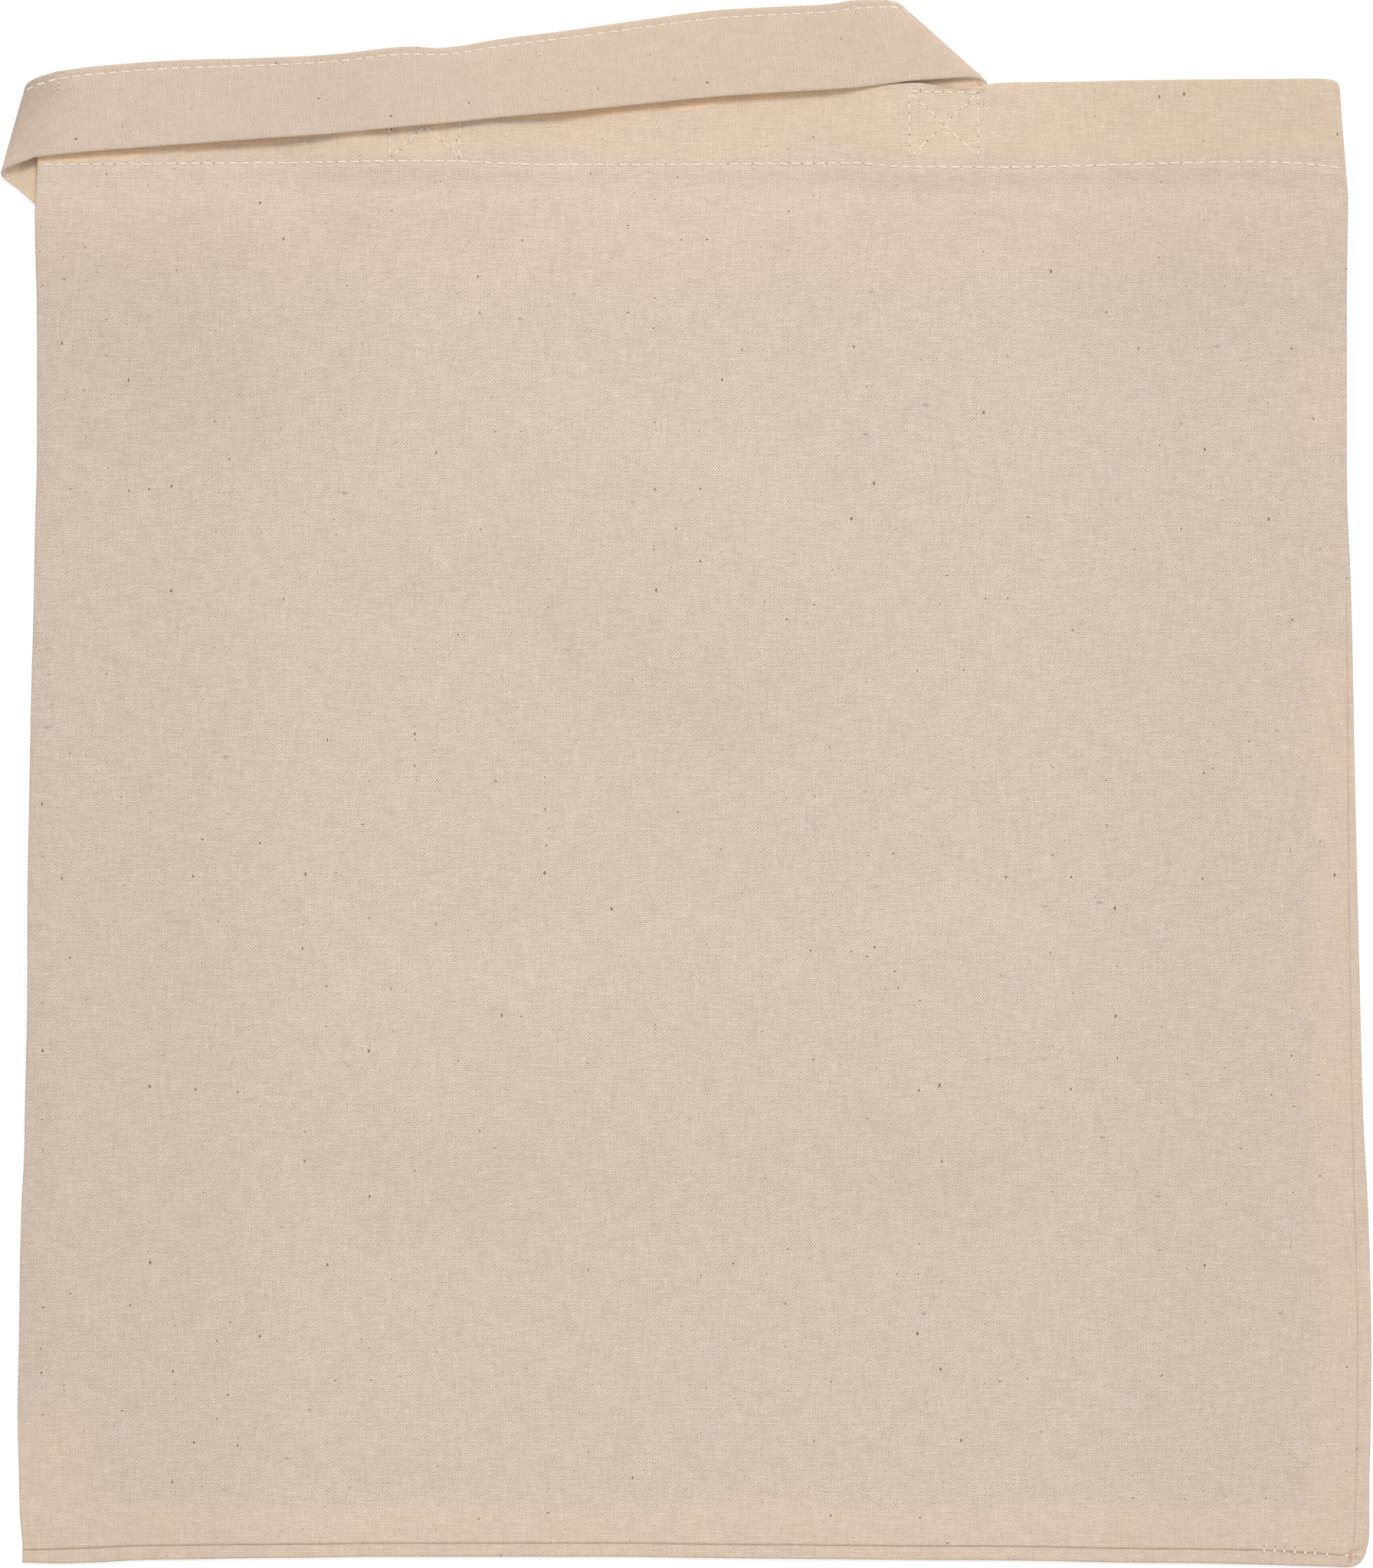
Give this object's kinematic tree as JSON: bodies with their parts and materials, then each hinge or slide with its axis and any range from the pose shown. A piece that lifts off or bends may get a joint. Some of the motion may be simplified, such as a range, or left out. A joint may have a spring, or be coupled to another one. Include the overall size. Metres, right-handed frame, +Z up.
{
  "type": "cotton tote bag",
  "caption": "Empty flat cotton tote bag with a hemmed mouth and two sewn strap handles, one folded over the front, lying face up.",
  "frame": {"origin": "on the surface that the bag lies on, under the middle of its box", "axes": "+Z up from the surface, +Y towards the bag's mouth, +X to the right as the front is seen"},
  "size_m": [0.39, 0.4464, 0.0126],
  "materials": {
    "body_cloth": "unbleached plain-weave cotton with small dark flecks, matte",
    "handle_cloth": "the same cotton folded to four layers and edge-stitched, matte",
    "sewing_thread": "pale cotton sewing thread, matte"
  },
  "bodies": {
    "root": {"bag_body": "body_cloth", "front_handle": "handle_cloth", "back_handle": "handle_cloth"}
  },
  "joints": []
}
